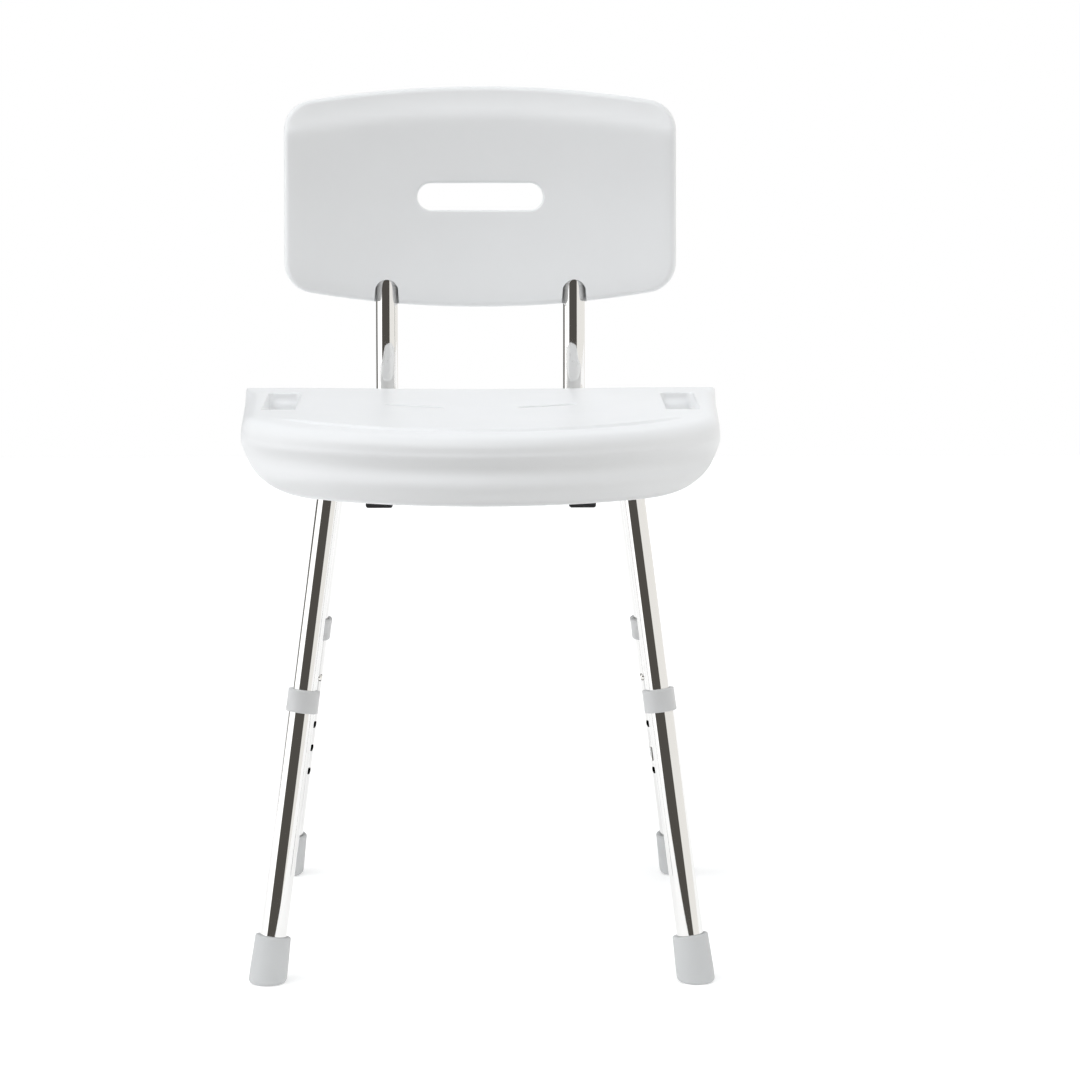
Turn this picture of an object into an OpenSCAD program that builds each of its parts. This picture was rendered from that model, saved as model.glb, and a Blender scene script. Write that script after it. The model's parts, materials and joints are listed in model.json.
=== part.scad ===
// Shower chair with a moulded seat, a lift-out backrest and four telescopic legs.
// Millimetres. +Z is up, the sitter faces -Y, and +X is the right side as seen from the front.
// The origin is on the floor, below the middle of the chair's own box.

/* [Stance] */
// Distance from the middle of the chair to the middle of a foot, sideways, on the floor
foot_x = 203.5; // [180:0.5:230]
// Distance from the middle of the stance to the middle of a foot, front to back, on the floor
foot_y = 214; // [195:0.5:235]
// Angle by which each leg leans in sideways
lean_side = 7.45; // [4:0.05:9]
// Angle by which each leg leans in from the front or the back
lean_depth = 6.2; // [4:0.05:8]
// How far the stance's middle lies in front of the origin
stance_forward = 16; // [0:1:30]

/* [Leg tubes] */
// Outside diameter of the upper leg tubes and of the backrest tubes
upper_d = 22.2; // [19:0.1:24]
// Outside diameter of the lower leg tubes and of the receivers
lower_d = 25.4; // [24:0.1:32]
// Play between two tubes that slide, on the radius
slide_play = 0.1; // [0.05:0.01:0.1]
// Wall of the upper tubes
upper_wall = 1.2; // [1:0.1:2]
// Height of the cross tubes' centre line above the floor
cross_z = 489.5; // [470:0.5:500]
// Centre-line radius of the bend between a cross tube and a leg
cross_bend_r = 38; // [30:1:45]
// Distance along the leg from the floor to the upper tube's lower end
upper_end = 178; // [170:1:185]
// Distance along the leg from the floor to the lower tube's upper end
lower_top = 279; // [270:1:290]

/* [Height setting] */
// Number of height holes in each lower tube
hole_count = 5; // [3:1:6]
// Distance between two height holes
hole_pitch = 25.4; // [20:0.1:30]
// Distance along the leg from the floor to the highest hole
top_hole = 218.3; // [210:0.1:225]
// Diameter of the height holes
hole_d = 7.4; // [7:0.1:9]
// Diameter of the snap buttons
button_d = 6.8; // [5:0.1:6.9]
// Direction of the buttons, counted from straight ahead towards the other leg
button_turn = 57; // [0:1:90]

/* [Feet and collars] */
// Diameter of a rubber foot at its upper rim
foot_d = 34; // [32:0.5:40]
// Height of a rubber foot along the leg
foot_h = 45; // [35:1:55]
// Diameter of a collar
collar_d = 30.4; // [29:0.1:34]
// Height of a collar
collar_h = 21.5; // [15:0.5:30]

/* [Seat] */
// Width of the seat in the middle between its round front and its rear edge
seat_w = 471; // [440:1:480]
// Radius of the seat's rounded front, seen from above
front_r = 292; // [280:1:320]
// Distance from the stance's middle to the seat's foremost point
seat_front = 218; // [215:1:222]
// Distance from the stance's middle to the seat's rear edge
seat_rear = 181; // [178:1:190]
// Height of the rim plane above the floor at the stance's middle
seat_z = 524.5; // [520:0.5:530]
// Angle by which the seat falls to the rear
seat_tilt = 2.3; // [0:0.1:4]
// Depth of the hollow in the seat's top
dish = 4; // [2:0.5:8]
// Wall thickness of the seat
seat_wall = 3.6; // [3:0.1:5]
// Height above the floor of the lower edge of the front apron
apron_z = 457.5; // [450:0.5:470]
// Height above the floor of the lower edge of the side and rear skirt
skirt_z = 498; // [492:0.5:502]

/* [Backrest] */
// Width of the backrest panel
panel_w = 397; // [360:1:420]
// Height of the backrest panel at its middle
panel_h = 224; // [200:1:240]
// Thickness of the backrest panel
panel_t = 28; // [26:0.5:32]
// Radius to which the panel is curved around the sitter, at mid thickness
panel_r = 900; // [700:10:1500]
// Angle by which the backrest leans back
back_lean = 7; // [0:0.5:12]
// Distance from the middle to each backrest tube
back_x = 95.3; // [85:0.1:100]
// Distance from the stance's middle to the backrest tubes behind the seat
back_y = 218; // [216:0.5:225]
// Height above the floor of the bend where the backrest starts to lean
back_bend_z = 564; // [550:1:575]

/* [Hidden] */
$fn = 96;

// a hair by which a cut passes the face that it opens
past = 1;
// tubes
upper_r = upper_d / 2;
upper_bore_r = upper_r - upper_wall;
lower_r = lower_d / 2;
lower_bore_r = upper_r + slide_play;
// the leaning plane that each inverted-U leg frame lies in, measured along the plane's own height;
// tube lengths are whole tenths, so that the straight and bent pieces meet exactly
function tenth(x) = round(10 * x) / 10;
cross_turn = 90 - lean_side;
cross_setback = cross_bend_r * tan(cross_turn / 2);
cross_w = tenth(cross_z / cos(lean_depth));
cross_y = foot_y - cross_w * sin(lean_depth);
tube_z = cross_w * cos(lean_depth);
cross_reach = tenth(foot_x - cross_w * tan(lean_side) - cross_setback);
leg_bend_at = tenth(cross_w / cos(lean_side) - cross_setback);
// feet
foot_floor = 8.5;
washer_h = 1.5;
washer_r = 12.2;
lower_end = foot_floor + washer_h;
foot_swell = 0.6;
foot_rim_h = 2.5;
foot_cut = 20;
collar_lip = 2.1;
collar_end = lower_top + collar_lip;
// snap buttons, measured outwards from the tube's axis
button_nose = lower_r + 1.5;
button_seat = 7.6;
button_base_r = 4.2;
button_base_h = 0.9;
clip_t = 0.8;
clip_gap = 0.05;
clip_w = 6;
clip_flat = 8;
clip_drop = 34;
clip_back = -9;
clip_bend = -1;
// receivers, which run below both cross tubes
saddle_gap = 1;
receiver_z = tube_z - upper_r - saddle_gap - lower_r;
receiver_front = -186;
receiver_rear = 176;
cap_h = 6;
cap_plug_h = 12;
plug_rim_h = 2;
saddle_w = 20;
saddle_d = 24;
// seat
rim_round = 5;
rim_inset = 6;
skirt_flare = 1.5;
seat_corner_r = 60;
seat_waist = 9;
dish_r = (pow(0.8 * seat_w / 2, 2) + pow(dish, 2)) / (2 * dish);
apron_back = 185;
skirt_start = -93;
skirt_power = 1.6;
skirt_steps = 16;
grip_x = 196;
grip_w = 32;
grip_front = -37;
grip_rear = 127;
grip_corner_r = 6;
drain_x = 65;
drain_y = 42;
drain_l = 58;
drain_w = 13;
drain_turn = 9;
rib_t = 3;
rib_z = 503;
clamp_x = 45;
clamp_w = 16;
clamp_d = 42;
clamp_h = 13;
boss_w = 20;
seat_screw_r = 2;
seat_screw_y = 16;
seat_screw_top = 506;
screw_head_r = 4.4;
screw_head_h = 2.8;
// backrest
back_corner_r = 40;
back_tube_front = -120;
back_bend_r = 60;
bend_steps = 9;
lean_steps = 3;
bent_sides = 48;
back_rise = tenth(back_bend_z - back_bend_r * tan(back_lean / 2) - receiver_z - back_corner_r);
panel_bottom = 23.5;
panel_wall = 3;
panel_corner_r = 31;
panel_edge_r = 1040;
socket_top = 146;
socket_play = 0.05;
mouth_w = 25;
mouth_h = 27.5;
mouth_top = panel_bottom + mouth_h - mouth_w / 2;
hand_slot_w = 128;
hand_slot_h = 27.6;
hand_slot_z = 135.5;
back_hole_y = 120;
back_screw_r = 2.1;
back_screw_z = [60, 118];
back_screw_in = 5;
spot_face_r = 5;

// ---- frames that parts are drawn in ----

// the middle of the four feet
module stance() translate([0, -stance_forward, 0]) children();

// the leaning plane of the front (-1) or rear (1) leg frame
module leg_plane(sy) stance() translate([0, sy * foot_y, 0]) rotate([sy * lean_depth, 0, 0]) children();

// a leg's own frame: +Z up along the leg, starting on the floor
module leg(sx, sy) leg_plane(sy) leg_line(sx) children();

// the left (-1) or right (1) leg's line within the leaning plane
module leg_line(sx) translate([sx * cross_reach, 0, cross_w - cross_bend_r])
    rotate([0, -sx * lean_side, 0]) translate([sx * cross_bend_r, 0, -leg_bend_at]) children();

// as leg(), with +X along the way that the leg's button points
module leg_button_frame(sx, sy) leg(sx, sy) at_top_hole(sx, sy) children();

module at_top_hole(sx, sy) rotate(atan2(-sy * cos(button_turn), -sx * sin(button_turn)))
    translate([0, 0, top_hole]) children();

// as leg_button_frame(), for the button under a receiver: +X points down and +Z to the rear
module back_button_frame(sx) stance() translate([sx * back_x, back_hole_y, receiver_z])
    rotate([-90, 90, 0]) children();

// the seat's own frame: its rim plane is z = 0
module seat_frame() stance() translate([0, 0, seat_z]) rotate([-seat_tilt, 0, 0]) children();

// the backrest's leaning frame: +Z along the leaning tubes, starting where they have bent back
module panel_frame() stance() translate([0, back_y + back_bend_r, receiver_z + back_corner_r + back_rise])
    rotate([-back_lean, 0, 0]) translate([0, -back_bend_r, 0]) children();

// ---- shapes that repeat ----

module tube(r_out, r_in, h) difference() {
    cylinder(r = r_out, h = h);
    translate([0, 0, -past]) cylinder(r = r_in, h = h + 2 * past);
}

// a straight strip of sheet metal seen on edge
module strip(from, to, t) translate(from) rotate(atan2(to.y - from.y, to.x - from.x)) {
    translate([0, -t / 2]) square([norm(to - from), t]);
    translate([norm(to - from), 0]) circle(d = t, $fn = 24);
}

// a hole of diameter d along +X, from the frame's axis outwards
module side_hole(d, reach) rotate([0, 90, 0]) cylinder(d = d, h = reach, $fn = 48);

// a bend of a hollow tube about the Z axis, starting on +X
module tube_bend(bend_r, turn, r_out, r_in) rotate_extrude(angle = turn) translate([bend_r, 0]) difference() {
    circle(r = r_out);
    circle(r = r_in);
}

// a spring button: a ball-nosed pin on a flat base, pointing along +X
module button() rotate([0, 90, 0]) {
    base_z = button_seat + clip_gap;
    nose_z = button_nose - button_d / 2;
    translate([0, 0, base_z]) cylinder(r = button_base_r, h = button_base_h, $fn = 48);
    translate([0, 0, base_z]) cylinder(d = button_d, h = nose_z - base_z, $fn = 48);
    translate([0, 0, nose_z]) intersection() {
        sphere(d = button_d, $fn = 48);
        translate([0, 0, -1]) cylinder(d = 2 * button_d, h = button_d, $fn = 48);
    }
}

// a V of spring steel: one leaf lies under the button and the other bears on the far wall
module clip() rotate([90, 0, 0]) translate([0, 0, -clip_w / 2]) linear_extrude(clip_w) {
    leaf = button_seat - clip_t / 2;
    strip([clip_bend, -clip_drop], [leaf, -clip_flat], clip_t);
    strip([leaf, -clip_flat], [leaf, clip_flat - 2], clip_t);
    strip([clip_bend, -clip_drop], [clip_back, 0], clip_t);
    translate([clip_bend, -clip_drop]) circle(d = 2 * clip_t, $fn = 24);
}

// a pan-head screw with its head at the origin, pointing along +Z
module screw(r, length) {
    translate([0, 0, -screw_head_h]) cylinder(r = screw_head_r, h = screw_head_h, $fn = 48);
    cylinder(r = r, h = length, $fn = 48);
}

// the round bed of the front (-1) or rear (1) cross tube, out to a distance of reach on each side
module cross_tube_bed(sy, reach) translate([-reach, sy * cross_y, tube_z]) rotate([0, 90, 0])
    cylinder(r = upper_r, h = 2 * reach);

// ---- seat ----

module seat_outline(inset) difference() {
    offset(delta = -inset) offset(r = seat_corner_r) offset(delta = -seat_corner_r) intersection() {
        translate([0, front_r - seat_front]) circle(r = front_r, $fn = 180);
        polygon([
            [-seat_w / 2 + seat_waist, -seat_front], [seat_w / 2 - seat_waist, -seat_front],
            [seat_w / 2 + seat_waist, 2 * seat_rear], [-seat_w / 2 - seat_waist, 2 * seat_rear]
        ]);
    }
    translate([-seat_w, seat_rear - inset]) square([2 * seat_w, 4 * seat_rear]);
}

// the seat's outer form without its hollow, or its inside when inset by the wall
module seat_form(inset, top) hull() {
    translate([0, 0, top - 0.5]) linear_extrude(0.5) seat_outline(inset + rim_inset);
    translate([0, 0, top - rim_round]) linear_extrude(0.5) seat_outline(inset + rim_inset / 4);
    translate([0, 0, -90]) linear_extrude(0.5) seat_outline(inset - skirt_flare);
}

// the round bar that presses the hollow into the seat's top
module seat_hollow(drop) translate([0, seat_front * 2, dish_r - dish]) rotate([90, 0, 0])
    cylinder(r = dish_r + drop, h = 4 * seat_front, $fn = 720);

// everything below the skirt's lower edge, which climbs from the apron to the sides
module below_skirt() {
    edge = [for (i = [0:skirt_steps]) let (t = i / skirt_steps) [
        -apron_back + t * (apron_back + skirt_start),
        apron_z + (skirt_z - apron_z) * (1 - cos(180 * pow(t, skirt_power))) / 2
    ]];
    front = [[-2 * seat_front, 0], [-2 * seat_front, apron_z]];
    rear = [[2 * seat_rear, skirt_z], [2 * seat_rear, 0]];
    stance() rotate([90, 0, 90]) translate([0, 0, -seat_w]) linear_extrude(2 * seat_w)
        polygon(concat(front, edge, rear));
}

module grip_outline(grow) for (sx = [-1, 1]) translate([sx * grip_x, (grip_front + grip_rear) / 2])
    offset(r = grip_corner_r + grow, $fn = 48)
        square([grip_w - 2 * grip_corner_r, grip_rear - grip_front - 2 * grip_corner_r], center = true);

module drain_outline(grow) for (sx = [-1, 1]) translate([sx * drain_x, drain_y]) rotate(sx * drain_turn)
    for (end = [-1, 1]) hull() {
        translate([end * (drain_l - drain_w) / 2, 0]) circle(d = drain_w + 2 * grow, $fn = 48);
        circle(d = drain_w + 2 * grow, $fn = 48);
    }

// plates, bosses and slot walls below the deck
module seat_stiffening() {
    for (x = [-140, -25, 25, 140]) translate([x - rib_t / 2, -170, 0]) cube([rib_t, 345, 600]);
    for (y = [-95, -30, 105]) translate([-175, y - rib_t / 2, 0]) cube([350, rib_t, 600]);
}

module seat_bosses() for (sx = [-1, 1], sy = [-1, 1])
    translate([sx * clamp_x - boss_w / 2, sy * cross_y - clamp_d / 2, tube_z]) cube([boss_w, clamp_d, 60]);

module seat() color("white") difference() {
    intersection() {
        seat_frame() difference() {
            seat_form(0, 0);
            seat_hollow(0);
        }
        union() {
            difference() {
                seat_frame() difference() {
                    seat_form(0, past);
                    difference() {
                        seat_form(seat_wall, -seat_wall);
                        seat_hollow(seat_wall);
                    }
                }
                below_skirt();
            }
            difference() {
                stance() linear_extrude(600) difference() {
                    grip_outline(seat_wall);
                    grip_outline(0);
                }
                below_skirt();
            }
            difference() {
                stance() seat_stiffening();
                translate([-seat_w, -2 * seat_front, 0]) cube([2 * seat_w, 4 * seat_front, rib_z]);
            }
            stance() seat_bosses();
        }
    }
    stance() {
        linear_extrude(600) grip_outline(0);
        linear_extrude(600) drain_outline(0);
        for (sy = [-1, 1]) {
            cross_tube_bed(sy, clamp_x + boss_w);
            seat_screw_places(sy, 0) cylinder(r = seat_screw_r, h = seat_screw_top, $fn = 48);
        }
    }
}

// straps that hold the seat down on the cross tubes
module seat_clamps() color("gainsboro") stance() difference() {
    for (sx = [-1, 1], sy = [-1, 1])
        translate([sx * clamp_x - clamp_w / 2, sy * cross_y - clamp_d / 2, tube_z - clamp_h])
            cube([clamp_w, clamp_d, clamp_h]);
    for (sy = [-1, 1]) {
        cross_tube_bed(sy, clamp_x + boss_w);
        seat_screw_places(sy, 0) cylinder(r = seat_screw_r, h = 2 * tube_z, $fn = 48);
    }
}

// the seat screws' places on the front (-1) or rear (1) cross tube, at height z
module seat_screw_places(sy, z) for (sx = [-1, 1], y = [-seat_screw_y, seat_screw_y])
    translate([sx * clamp_x, sy * cross_y + y, z]) children();

module seat_screws() color("silver") stance() for (sy = [-1, 1])
    seat_screw_places(sy, tube_z - clamp_h) screw(seat_screw_r, seat_screw_top - tube_z + clamp_h);

// ---- leg frames and receivers ----

// the right half of an inverted U, with the centre of its bend at the origin
module half_leg_frame() {
    rotate([90, 0, 0]) rotate(90) tube_bend(cross_bend_r, -cross_turn, upper_r, upper_bore_r);
    translate([-cross_reach, 0, cross_bend_r]) rotate([0, 90, 0]) tube(upper_r, upper_bore_r, cross_reach);
    rotate([0, -lean_side, 0]) translate([cross_bend_r, 0, upper_end - leg_bend_at])
        tube(upper_r, upper_bore_r, leg_bend_at - upper_end);
}

module leg_frame(sy) color("silver") leg_plane(sy) difference() {
    translate([0, 0, cross_w - cross_bend_r]) {
        translate([cross_reach, 0, 0]) half_leg_frame();
        mirror([1, 0, 0]) translate([cross_reach, 0, 0]) half_leg_frame();
    }
    for (sx = [-1, 1]) leg_line(sx) at_top_hole(sx, sy) side_hole(hole_d, lower_r);
}

// cradles between the cross tubes and the receivers
module frame_saddles() color("silver") stance() difference() {
    for (sx = [-1, 1], sy = [-1, 1])
        translate([sx * back_x - saddle_w / 2, sy * cross_y - saddle_d / 2, receiver_z])
            cube([saddle_w, saddle_d, tube_z - receiver_z]);
    for (sx = [-1, 1]) translate([sx * back_x, 0, receiver_z]) rotate([90, 0, 0])
        cylinder(r = lower_r, h = 4 * foot_y, center = true);
    for (sy = [-1, 1]) cross_tube_bed(sy, back_x + saddle_w);
}

module receiver(sx) color("silver") difference() {
    stance() translate([sx * back_x, receiver_front, receiver_z]) rotate([-90, 0, 0])
        tube(lower_r, lower_bore_r, receiver_rear - receiver_front);
    back_button_frame(sx) side_hole(hole_d, lower_d);
}

// plugs with a square flange that close the receivers' front ends
module receiver_end_caps() color("dimgray") stance() for (sx = [-1, 1])
    translate([sx * back_x, receiver_front, receiver_z]) {
        translate([-lower_r, -cap_h, -lower_r]) cube([lower_d, cap_h, lower_d]);
        rotate([-90, 0, 0]) cylinder(r = lower_bore_r, h = cap_plug_h);
    }

// ---- telescopic legs ----

module lower_leg(sx, sy) color("silver") difference() {
    leg(sx, sy) translate([0, 0, lower_end]) tube(lower_r, lower_bore_r, lower_top - lower_end);
    leg_button_frame(sx, sy) for (i = [0:hole_count - 1])
        translate([0, 0, -i * hole_pitch]) side_hole(hole_d, lower_d);
}

module collar(sx, sy) color("gainsboro") leg(sx, sy) difference() {
    translate([0, 0, collar_end - collar_h]) cylinder(d = collar_d, h = collar_h);
    translate([0, 0, lower_top - collar_h]) cylinder(r = lower_r, h = collar_h);
    cylinder(r = lower_bore_r, h = collar_end + past);
}

module foot(sx, sy) color("gainsboro") difference() {
    leg(sx, sy) difference() {
        union() {
            translate([0, 0, -foot_cut])
                cylinder(r1 = foot_d / 2 + foot_swell, r2 = foot_d / 2, h = foot_h + foot_cut);
            translate([0, 0, foot_h - foot_rim_h]) cylinder(r = foot_d / 2 + foot_swell, h = foot_rim_h);
        }
        translate([0, 0, foot_floor]) cylinder(r = lower_r, h = foot_h);
    }
    translate([-2 * foot_x, -2 * foot_y, -2 * foot_cut]) cube([4 * foot_x, 4 * foot_y, 2 * foot_cut]);
}

module foot_washer(sx, sy) color("silver") leg(sx, sy)
    translate([0, 0, foot_floor]) cylinder(r = washer_r, h = washer_h);

module leg_button(sx, sy) color("gainsboro") leg_button_frame(sx, sy) button();

module leg_clip(sx, sy) color("darkgray") leg_button_frame(sx, sy) clip();

// ---- backrest ----

// the backrest tube's centre line as [y, z, heading]: along the receiver, up behind the seat,
// then leaning back into the panel
function back_tube_line() = let (
    rise_z = receiver_z + back_corner_r + back_rise,
    top_y = back_y + back_bend_r * (1 - cos(back_lean)) + socket_top * sin(back_lean),
    top_z = rise_z + back_bend_r * sin(back_lean) + socket_top * cos(back_lean)
) concat(
    [[back_tube_front, receiver_z, 0]],
    [for (i = [0:bend_steps]) let (a = 90 * i / bend_steps) [
        back_y - back_corner_r * (1 - sin(a)), receiver_z + back_corner_r * (1 - cos(a)), a
    ]],
    [for (i = [0:lean_steps]) let (a = back_lean * i / lean_steps) [
        back_y + back_bend_r * (1 - cos(a)), rise_z + back_bend_r * sin(a), 90 - a
    ]],
    [[top_y, top_z, 90 - back_lean]]
);

// one ring of points around each place on the centre line
function rings(line, r) = [for (p = line, i = [0:bent_sides - 1]) let (a = 360 * i / bent_sides) [
    r * cos(a), p[0] - r * sin(a) * sin(p[2]), p[1] + r * sin(a) * cos(p[2])
]];

// the side walls between rings, and the flat end that joins an outer ring to an inner one
function walls(first, count, flip) = [for (k = [0:count - 2], i = [0:bent_sides - 1])
    let (a = first + k * bent_sides + i, b = first + k * bent_sides + (i + 1) % bent_sides)
        flip ? [a, a + bent_sides, b + bent_sides, b] : [a, b, b + bent_sides, a + bent_sides]];
function tube_end(outer, inner, flip) = [for (i = [0:bent_sides - 1])
    let (j = (i + 1) % bent_sides)
        flip ? [outer + i, inner + i, inner + j, outer + j] : [outer + i, outer + j, inner + j, inner + i]];

module bent_back_tube() {
    line = back_tube_line();
    size = len(line) * bent_sides;
    polyhedron(
        points = concat(rings(line, upper_r), rings(line, upper_bore_r)),
        faces = concat(
            walls(0, len(line), true), walls(size, len(line), false),
            tube_end(0, size, false), tube_end(size - bent_sides, 2 * size - bent_sides, true)
        )
    );
}

module back_screw_places(sx) panel_frame() for (z = back_screw_z)
    translate([sx * back_x, panel_t / 2, z]) rotate([90, 0, 0]) children();

module back_tube(sx) color("silver") difference() {
    stance() translate([sx * back_x, 0, 0]) bent_back_tube();
    back_button_frame(sx) side_hole(hole_d, lower_d);
    back_screw_places(sx) cylinder(r = back_screw_r, h = panel_t / 2, $fn = 48);
}

module back_tube_plugs() color("dimgray") stance() for (sx = [-1, 1])
    translate([sx * back_x, back_tube_front, receiver_z]) rotate([-90, 0, 0]) {
        translate([0, 0, -plug_rim_h]) cylinder(r = upper_bore_r, h = plug_rim_h);
        cylinder(r = upper_bore_r * cos(180 / bent_sides), h = cap_plug_h);
    }

module back_button(sx) color("gainsboro") back_button_frame(sx) button();

module back_clip(sx) color("darkgray") back_button_frame(sx) clip();

module panel_outline(inset) offset(r = panel_corner_r - inset) offset(delta = -panel_corner_r)
    intersection() {
        translate([-panel_w / 2, panel_bottom - panel_h]) square([panel_w, 3 * panel_h]);
        translate([0, panel_bottom + panel_h - panel_edge_r]) circle(r = panel_edge_r, $fn = 360);
        translate([0, panel_bottom + panel_edge_r]) circle(r = panel_edge_r, $fn = 360);
    }

module hand_slot_outline(grow) for (sx = [-1, 1]) hull()
    for (x = [0, sx * (hand_slot_w - hand_slot_h) / 2])
        translate([x, hand_slot_z]) circle(d = hand_slot_h + 2 * grow, $fn = 48);

// a flat shape in the panel's face, carried right through the panel
module through_panel() rotate([90, 0, 0]) translate([0, 0, -panel_t * 2])
    linear_extrude(4 * panel_t) children();

// the curved slab between two cylinders, thinned by inset on each face
module panel_slab(inset) translate([0, -sqrt(pow(panel_r, 2) - pow(back_x, 2)), 0]) difference() {
    cylinder(r = panel_r + panel_t / 2 - inset, h = 2 * panel_h, $fn = 720);
    translate([0, 0, -past]) cylinder(r = panel_r - panel_t / 2 + inset, h = 3 * panel_h, $fn = 720);
}

module panel_body(inset) intersection() {
    panel_slab(inset);
    through_panel() panel_outline(inset);
}

module backrest_panel() color("white") difference() {
    panel_frame() difference() {
        panel_body(0);
        difference() {
            panel_body(panel_wall);
            through_panel() hand_slot_outline(panel_wall);
            for (sx = [-1, 1]) translate([sx * back_x, 0, 0])
                cylinder(r = panel_t / 2, h = socket_top);
        }
        through_panel() hand_slot_outline(0);
        for (sx = [-1, 1]) translate([sx * back_x, 0, 0]) {
            cylinder(r = upper_r + socket_play, h = socket_top + past);
            translate([-mouth_w / 2, -panel_t, 0]) cube([mouth_w, panel_t, mouth_top]);
            translate([0, 0, mouth_top]) rotate([90, 0, 0]) cylinder(d = mouth_w, h = panel_t);
        }
    }
    for (sx = [-1, 1]) back_screw_places(sx) {
        cylinder(r = back_screw_r, h = panel_t / 2, $fn = 48);
        translate([0, 0, -screw_head_h]) cylinder(r = spot_face_r, h = screw_head_h, $fn = 48);
    }
}

module backrest_screws() color("silver") for (sx = [-1, 1])
    back_screw_places(sx) screw(back_screw_r, panel_t / 2 - back_screw_in);

seat();
seat_clamps();
seat_screws();
leg_frame(-1);  // front_leg_frame
leg_frame(1);  // rear_leg_frame
frame_saddles();
receiver(-1);  // receiver_left
receiver(1);  // receiver_right
receiver_end_caps();
lower_leg(-1, -1);  // lower_leg_front_left
lower_leg(1, -1);  // lower_leg_front_right
lower_leg(-1, 1);  // lower_leg_rear_left
lower_leg(1, 1);  // lower_leg_rear_right
collar(-1, -1);  // collar_front_left
collar(1, -1);  // collar_front_right
collar(-1, 1);  // collar_rear_left
collar(1, 1);  // collar_rear_right
foot(-1, -1);  // foot_front_left
foot(1, -1);  // foot_front_right
foot(-1, 1);  // foot_rear_left
foot(1, 1);  // foot_rear_right
foot_washer(-1, -1);  // foot_washer_front_left
foot_washer(1, -1);  // foot_washer_front_right
foot_washer(-1, 1);  // foot_washer_rear_left
foot_washer(1, 1);  // foot_washer_rear_right
leg_button(-1, -1);  // leg_button_front_left
leg_button(1, -1);  // leg_button_front_right
leg_button(-1, 1);  // leg_button_rear_left
leg_button(1, 1);  // leg_button_rear_right
leg_clip(-1, -1);  // leg_clip_front_left
leg_clip(1, -1);  // leg_clip_front_right
leg_clip(-1, 1);  // leg_clip_rear_left
leg_clip(1, 1);  // leg_clip_rear_right
back_tube(-1);  // back_tube_left
back_tube(1);  // back_tube_right
back_tube_plugs();
back_button(-1);  // back_button_left
back_button(1);  // back_button_right
back_clip(-1);  // back_clip_left
back_clip(1);  // back_clip_right
backrest_panel();
backrest_screws();
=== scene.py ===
"""The looks of a shower chair: a white moulded seat and backrest on chromed tubes.

Metres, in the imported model's frame: +Z up, the sitter faces -Y, +X is the right side seen from the front.
"""

import json
import math

import bmesh
import bpy
import numpy as np
from mathutils import Matrix, Vector, geometry


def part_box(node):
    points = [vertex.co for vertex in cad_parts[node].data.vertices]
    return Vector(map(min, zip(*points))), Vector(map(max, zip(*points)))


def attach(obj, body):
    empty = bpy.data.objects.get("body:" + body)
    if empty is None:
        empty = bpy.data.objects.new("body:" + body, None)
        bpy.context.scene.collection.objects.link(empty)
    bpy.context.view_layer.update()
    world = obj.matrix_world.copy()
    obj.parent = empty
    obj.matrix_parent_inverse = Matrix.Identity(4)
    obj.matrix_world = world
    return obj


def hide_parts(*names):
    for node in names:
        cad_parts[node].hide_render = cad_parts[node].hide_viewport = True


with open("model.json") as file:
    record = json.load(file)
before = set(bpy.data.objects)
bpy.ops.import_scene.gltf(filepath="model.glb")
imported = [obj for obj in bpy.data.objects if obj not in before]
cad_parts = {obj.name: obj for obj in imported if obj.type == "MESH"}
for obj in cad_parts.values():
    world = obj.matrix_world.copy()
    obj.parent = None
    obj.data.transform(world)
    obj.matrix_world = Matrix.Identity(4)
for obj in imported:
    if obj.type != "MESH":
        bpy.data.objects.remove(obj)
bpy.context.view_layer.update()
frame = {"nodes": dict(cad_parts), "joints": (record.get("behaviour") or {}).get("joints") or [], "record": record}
MM = 0.001

# ---- what the frame says ----

LEGS = ("front_left", "front_right", "rear_left", "rear_right")
SIDES = {"left": -1, "right": 1}
JOINTS = {j["name"]: j for j in frame["joints"]}
MOUNTS = {m["name"]: m for m in frame["record"]["mounts"]}

# stock sizes of the tubes
UPPER_R = 11.1 * MM
LOWER_R = 12.7 * MM
LOWER_BORE_R = 11.2 * MM
UPPER_RADII = (UPPER_R, UPPER_R - 1.2 * MM)
LOWER_RADII = (LOWER_R, LOWER_BORE_R)
HOLE_R = 3.7 * MM
HOLE_CUT = 20 * MM
HOLE_PITCH = 25.4 * MM
HOLE_COUNT = 5
CROSS_BEND_R = 38 * MM
TUBE_SIDES, TUBE_LIP = 72, 0.35 * MM


def middle(node):
    """The middle of a node's box."""
    low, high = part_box(node)
    return (low + high) / 2


def axes_matrix(x, y, z, origin):
    """The matrix that takes a piece's own axes and origin to the given ones."""
    m = Matrix((x, y, z)).transposed().to_4x4()
    m.translation = origin
    return m


def leg_matrix(leg):
    """A leg's own frame: +Z up the leg from the floor, +X the way that its snap button points."""
    up = Vector(JOINTS["leg_height_" + leg]["axis"]).normalized()
    out = -Vector(JOINTS["snap_button_press_" + leg]["axis"]).normalized()
    return axes_matrix(out, up.cross(out), up, Vector(MOUNTS["foot_sole_" + leg]["pos_m"]))


def along_leg(node, leg, radius):
    """How far up its leg a round node of that radius starts and ends."""
    up = leg_matrix(leg).col[2]
    low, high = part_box(node)
    tip = radius * math.sqrt(1 - up.z**2)
    return (low.z + tip) / up.z, (high.z - tip) / up.z


def between(start, end, steps):
    """Points from start to end, with both."""
    return [start.lerp(end, i / steps) for i in range(steps + 1)]


def clamp(value):
    """The value, held between 0 and 1."""
    return min(1.0, max(0.0, value))


def smooth(value, low, high):
    """0 at low, 1 at high, and an even curve in between."""
    t = clamp((value - low) / (high - low))
    return t * t * (3 - 2 * t)


# ---- meshes ----


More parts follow.
